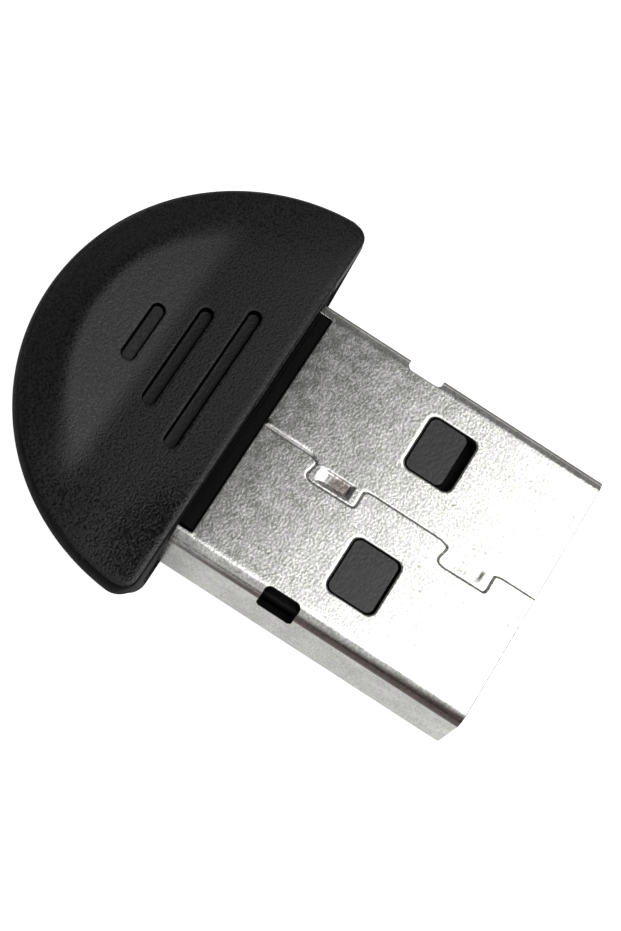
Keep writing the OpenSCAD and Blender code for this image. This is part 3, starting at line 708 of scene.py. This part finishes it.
# points where the surface bends: along every edge, round the folds and in the dovetails
plan, edges = [], []
add_ring(plan, edges, blank)
for distance in (0.006, 0.016, 0.03, 0.05, 0.075, 0.105, 0.14):
    add_ring(plan, edges, inset(blank, distance))
for opening in openings:
    for grow in (0.0, 0.008, 0.025, 0.05, 0.085, 0.13, 0.18, 0.24, 0.28, 0.31):
        add_ring(plan, edges, rounded_box(*opening, grow))
columns = list(np.arange(0.25, FLAT, 0.5)) + [FLAT + ARC * i / 14 for i in range(15)]
columns += list(np.arange(FLAT + ARC + 0.2, BOTTOM - ARC - 0.1, 0.46))
columns += [BOTTOM - ARC + ARC * i / 14 for i in range(15)]
columns += list(np.arange(BOTTOM + 0.5, ROUND / 2, 0.52))
columns += [ROUND - c for c in columns]
for s in columns:
    for y in np.arange(0.12, TAIL_END, 0.24):
        clear = min(opening_gap(s, y, o) for o in openings) > 0.36
        if clear and in_outline(s, y) and edge_gap_of(s, y)[0] > 0.18:
            plan.append(Vector((s, y)))
for front, rear in DOVETAILS:
    for x in np.arange(-0.88, 0.02, 0.045):
        for y in np.arange(front + 0.1, rear - 0.1, 0.045):
            if in_outline(x, y) and edge_gap_of(x, y)[0] > 0.16:
                plan.append(Vector((x, y)))
spots, _, tris, _, _, _ = delaunay_2d_cdt(plan, edges, [list(range(len(blank)))], 1, 1e-6)
keep = []  # all but the triangles that lie in an opening
for tri in tris:
    cs, cy = sum(spots[i].x for i in tri) / 3, sum(spots[i].y for i in tri) / 3
    if min(opening_gap(cs, cy, o) for o in openings) > 0 and in_outline(cs, cy):
        keep.append(tri)
used = sorted({i for tri in keep for i in tri})
renumber = {old: new for new, old in enumerate(used)}
keep = [tuple(renumber[i] for i in tri) for tri in keep]
outside, inside = [], []
for i in used:
    s, y = spots[i]
    away, facing = edge_gap_of(s, y)
    # the sheared edge is rounder where it faces the mouth, but hardly round at the mouth itself
    if y > 0.2:
        drop = rolled(away, 0.06 + 0.075 * facing, 0.03 + 0.02 * facing)
    else:
        drop = rolled(away, 0.045, 0.018)
    # behind the last dovetail one side of the seam is chamfered
    if s < 0.3 and y > CHAMFER_FRONT:
        drop = max(drop, CHAMFER_SLOPE * max(CHAMFER_WIDTH - away, 0) * min((y - CHAMFER_FRONT) / 0.3, 1))
    # the windows are rounder at their rear edge, where the socket's springs pass
    for opening in openings:
        rear = min(max((y - opening[1]) / opening[3], 0), 1)
        width = 0.06 + 0.11 * rear ** 3 if opening in windows else 0.03
        drop = max(drop, rolled(max(opening_gap(s, y, opening), 0), width, 0.05 + width * 0.2))
    outside.append(fold(s, y, drop + pressed(s, y)))
    inside.append(fold(s, y, SHEET))
n = len(used)
directed = {(a, b): True for tri in keep for a, b in zip(tri, tri[1:] + tri[:1])}
faces = keep + [tuple(n + i for i in reversed(tri)) for tri in keep]
faces += [(b, a, n + a, n + b) for a, b in directed if (b, a) not in directed]
shell = mesh_piece("folded_shell", outside + inside, faces)
shell.data.set_sharp_from_angle(angle=math.radians(40))
shell.data.materials.append(shell_metal("shell_steel"))
# the sheared walls of the side slots are bare steel, darker than the plating, and their near-black colour is
# painted shade
bare_and_shaded, tree = new_material("bare_edge_and_shade")
surface(tree, Base_Color=(0.006, 0.0055, 0.005, 1), Roughness=0.8, Specular_IOR_Level=0.1)
shell.data.materials.append(bare_and_shaded)
in_slot = [min(opening_gap(*spots[i], o) for o in slots) < 0.02 for i in used]
for face in shell.data.polygons:
    face.material_index = int(all(in_slot[i % n] for i in face.vertices))
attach(shell, "root")
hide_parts("plug_shell")

# Board carrier: one moulding in grey-black plastic, with the tongue and latch pads
# inside the plug, side lugs in the board's notches and the face behind the cap's edge.


def softened_copy(name, node, edge):
    """A merged copy of a CAD node's mesh with its cut edges rounded."""
    piece = bpy.data.objects.new(name, nodes[node].data.copy())
    scene.collection.objects.link(piece)
    shape = bmesh.new()
    shape.from_mesh(piece.data)
    bmesh.ops.remove_doubles(shape, verts=shape.verts, dist=1e-6)
    bmesh.ops.dissolve_limit(shape, angle_limit=math.radians(0.4), verts=shape.verts, edges=shape.edges)
    shape.to_mesh(piece.data)
    shape.free()
    soft = piece.modifiers.new("edges", "BEVEL")
    soft.width = edge
    soft.segments = 2
    soft.limit_method = "ANGLE"
    soft.angle_limit = math.radians(40)
    piece.data.shade_smooth()
    piece.modifiers.new("normals", "WEIGHTED_NORMAL").keep_sharp = True
    made_solid(piece)
    piece.data.materials.clear()
    return piece


carrier = softened_copy("carrier_moulding", "board_carrier", 0.00004)
# one plastic in two copies: a darker one for the body, painted shade, and a lighter one for the pads,
# painted reflection
carrier.data.materials.append(
    moulded_plastic("carrier_black", (0.003, 0.003, 0.0033), (0.005, 0.005, 0.0053),
                    rough=0.6, depth=0.00001, shine=0.12))
carrier.data.materials.append(
    moulded_plastic("pad_black_lit", (0.027, 0.027, 0.0275), (0.035, 0.035, 0.0355),
                    rough=0.33, depth=0.00001, shine=0.6))
# the pads that show in the two upper windows get a smoother, lighter copy of the same plastic, a painted
# reflection, and the rest of the moulding a darker one, painted shade
for face in carrier.data.polygons:
    face.material_index = int(face.center.z > 0.00545 and face.center.y < -0.003)
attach(carrier, "root")
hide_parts("board_carrier")

# Circuit board: 1 mm glass-fibre laminate under a green mask, narrow in the plug and
# half-round in the cap. The carrier's rails and lugs hold it, and the shell's tails are
# soldered to it.


def dress(node, material):
    mesh = nodes[node].data
    mesh.materials.clear()
    mesh.materials.append(material)


mask_green, tree = new_material("board_green")
weave, blotch = grain(tree, 3.0, 2.0), grain(tree, 0.8, 2.0)
low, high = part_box("circuit_board")
height = add(tree, "ShaderNodeSeparateXYZ")
feed(tree, height.inputs[0], add(tree, "ShaderNodeTexCoord").outputs["Object"])
# the cut edge shows the bare laminate between the two masked faces, in fine layers of cloth
from_face = sums(tree, "MINIMUM", sums(tree, "SUBTRACT", height.outputs["Z"], low[2]),
                 sums(tree, "SUBTRACT", high[2], height.outputs["Z"]))
bare_part = sums(tree, "GREATER_THAN", from_face, 0.00004)
layer = sums(tree, "SINE", sums(tree, "MULTIPLY", height.outputs["Z"], 2 * math.pi / 0.00014))
laminate = tints(tree, sums(tree, "MULTIPLY_ADD", layer, 0.5, 0.5), (0.30, 0.26, 0.12), (0.42, 0.37, 0.2))
board_colour = add(tree, "ShaderNodeMix", data_type="RGBA")
feed(tree, board_colour.inputs[0], bare_part)
feed(tree, board_colour.inputs[6],
     tints(tree, blotch.outputs["Mask"], (0.010, 0.085, 0.03), (0.018, 0.12, 0.045)))
feed(tree, board_colour.inputs[7], laminate)
surface(tree,
        Base_Color=board_colour.outputs[2],
        Roughness=between(tree, weave.outputs["Mask"], 0.25, 0.38),
        Coat_Weight=0.4,
        Normal=bumped(tree, weave.outputs["Height"], 0.00001))
dress("circuit_board", mask_green)

# Contacts and printed antenna: copper plated with gold. The contacts lie on the board's
# end in the plug's mouth, the antenna runs along its round edge in the cap.


def plated_metal(name, dark, light, rough, depth):
    made, tree = new_material(name)
    fine, broad = grain(tree, 9.0, 3.0), grain(tree, 2.4, 2.0)
    surface(tree,
            Base_Color=tints(tree, fine.outputs["Mask"], dark, light),
            Metallic=1.0,
            Roughness=between(tree, broad.outputs["Mask"], rough - 0.05, rough + 0.05),
            Normal=bumped(tree, fine.outputs["Height"], depth))
    return made


gold = plated_metal("contact_gold", (0.80, 0.56, 0.22), (0.92, 0.68, 0.32), 0.24, 0.000008)
for name in ("power_contact", "data_minus_contact", "data_plus_contact", "ground_contact", "antenna_trace"):
    dress(name, gold)

# Chips: the radio, its memory and the voltage regulator, black epoxy bodies that are
# pressed in a mould round the silicon and soldered flat to the board.
epoxy = moulded_plastic("chip_black", (0.012, 0.012, 0.013), (0.02, 0.02, 0.021),
                        rough=0.55, depth=0.00001, per_mm=9.0)
for name in ("radio_chip", "memory_chip", "voltage_regulator"):
    dress(name, epoxy)

# Two-terminal parts: small fired or coated blocks with plated ends that wrap round
# them, all of one build in several sizes, soldered flat on the board.
tan = moulded_plastic("ceramic_tan", (0.35, 0.24, 0.14), (0.43, 0.31, 0.19), rough=0.4, depth=0.000008)
fired = moulded_plastic("ceramic_white", (0.72, 0.72, 0.70), (0.8, 0.8, 0.78), rough=0.35, depth=0.000008)
tin = plated_metal("solder_tin", (0.62, 0.63, 0.64), (0.76, 0.77, 0.78), 0.22, 0.00001)
END_SHARE, WRAP = 0.22, 0.00002


def two_terminal_tree():
    """A block with a plated block at each end, in one size for each part."""
    made = bpy.data.node_groups.new("two_terminal_part", "GeometryNodeTree")
    face = made.interface
    for label, kind in (("Middle", "Vector"), ("Size", "Vector"), ("Turn", "Float"), ("End Length", "Float"),
                        ("Wrap", "Float"), ("Body", "Material"), ("Ends", "Material")):
        face.new_socket(label, in_out="INPUT", socket_type="NodeSocket" + kind)
    face.new_socket("Part", in_out="OUTPUT", socket_type="NodeSocketGeometry")
    start, end = add(made, "NodeGroupInput"), add(made, "NodeGroupOutput")
    size = add(made, "ShaderNodeSeparateXYZ")
    feed(made, size.inputs[0], start.outputs["Size"])

    def along(distance):
        made_vector = add(made, "ShaderNodeCombineXYZ")
        feed(made, made_vector.inputs[0], distance)
        return made_vector.outputs[0]

    def block(length, wide, high, material):
        """A block along X with rounded long edges and closed ends."""
        path = add(made, "GeometryNodeCurvePrimitiveLine")
        half = sums(made, "MULTIPLY", length, 0.5)
        feed(made, path.inputs["Start"], along(sums(made, "MULTIPLY", half, -1.0)))
        feed(made, path.inputs["End"], along(half))
        outline = add(made, "GeometryNodeCurvePrimitiveQuadrilateral")
        feed(made, outline.inputs["Width"], wide)
        feed(made, outline.inputs["Height"], high)
        soft = add(made, "GeometryNodeFilletCurve", mode="POLY")
        feed(made, soft.inputs["Curve"], outline.outputs[0])
        soft.inputs["Count"].default_value = 3
        feed(made, soft.inputs["Radius"], start.outputs["Wrap"])
        swept = add(made, "GeometryNodeCurveToMesh")
        feed(made, swept.inputs["Curve"], path.outputs[0])
        feed(made, swept.inputs["Profile Curve"], soft.outputs[0])
        swept.inputs["Fill Caps"].default_value = True
        finish = add(made, "GeometryNodeSetMaterial")
        feed(made, finish.inputs["Geometry"], swept.outputs[0])
        feed(made, finish.inputs["Material"], material)
        return finish.outputs[0]

    wrap = sums(made, "MULTIPLY", start.outputs["Wrap"], 2.0)
    body = block(sums(made, "SUBTRACT", size.outputs[0], wrap),
                 sums(made, "SUBTRACT", size.outputs[1], wrap),
                 sums(made, "SUBTRACT", size.outputs[2], wrap), start.outputs["Body"])
    cap_block = block(start.outputs["End Length"], size.outputs[1], size.outputs[2], start.outputs["Ends"])
    reach = sums(made, "MULTIPLY", sums(made, "SUBTRACT", size.outputs[0], start.outputs["End Length"]), 0.5)
    pair = add(made, "GeometryNodeMeshLine", mode="END_POINTS")
    pair.inputs["Count"].default_value = 2
    feed(made, pair.inputs["Start Location"], along(sums(made, "MULTIPLY", reach, -1.0)))
    feed(made, pair.inputs["Offset"], along(reach))
    both_ends = add(made, "GeometryNodeInstanceOnPoints")
    feed(made, both_ends.inputs["Points"], pair.outputs[0])
    feed(made, both_ends.inputs["Instance"], cap_block)
    whole = add(made, "GeometryNodeJoinGeometry")
    made.links.new(body, whole.inputs[0])
    made.links.new(both_ends.outputs[0], whole.inputs[0])
    turned = add(made, "GeometryNodeTransform")
    feed(made, turned.inputs["Geometry"], whole.outputs[0])
    feed(made, turned.inputs["Translation"], start.outputs["Middle"])
    spin = add(made, "ShaderNodeCombineXYZ")
    feed(made, spin.inputs[2], start.outputs["Turn"])
    feed(made, turned.inputs["Rotation"], spin.outputs[0])
    plain = add(made, "GeometryNodeRealizeInstances")
    feed(made, plain.inputs[0], turned.outputs[0])
    feed(made, end.inputs[0], plain.outputs[0])
    return made


two_terminal = two_terminal_tree()


def two_terminal_part(node, body, ends):
    """The part in the node's own box, its long side between its two ends."""
    low, high = (Vector(corner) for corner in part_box(node))
    wide = high - low
    lengthwise = wide.y > wide.x
    size = Vector((wide.y, wide.x, wide.z)) if lengthwise else wide
    piece = bpy.data.objects.new(node + "_block", bpy.data.meshes.new(node + "_block"))
    scene.collection.objects.link(piece)
    build = piece.modifiers.new("build", "NODES")
    build.node_group = two_terminal
    values = {"Middle": (low + high) / 2, "Size": size, "Turn": math.pi / 2 if lengthwise else 0.0,
              "End Length": size.x * END_SHARE, "Wrap": WRAP, "Body": body, "Ends": ends}
    for socket in two_terminal.interface.items_tree:
        if socket.in_out == "INPUT":
            build[socket.identifier] = values[socket.name]
    made_solid(piece)
    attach(piece, "root")
    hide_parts(node)


for name in ("data_minus_resistor", "data_plus_resistor", "reset_resistor"):
    two_terminal_part(name, epoxy, tin)
for name in ("input_capacitor", "output_capacitor", "core_capacitor", "radio_capacitor",
             "load_capacitor_left", "load_capacitor_right", "supply_inductor"):
    two_terminal_part(name, tan, tin)
two_terminal_part("antenna_filter", fired, tin)

# Crystal and solder joints: a pressed metal can, and bright solder that was melted
# round the shell's two tails.
can = plated_metal("can_silver", (0.68, 0.68, 0.69), (0.8, 0.8, 0.81), 0.3, 0.00001)
dress("crystal", can)
for name in ("left_solder_joint", "right_solder_joint"):
    dress(name, tin)
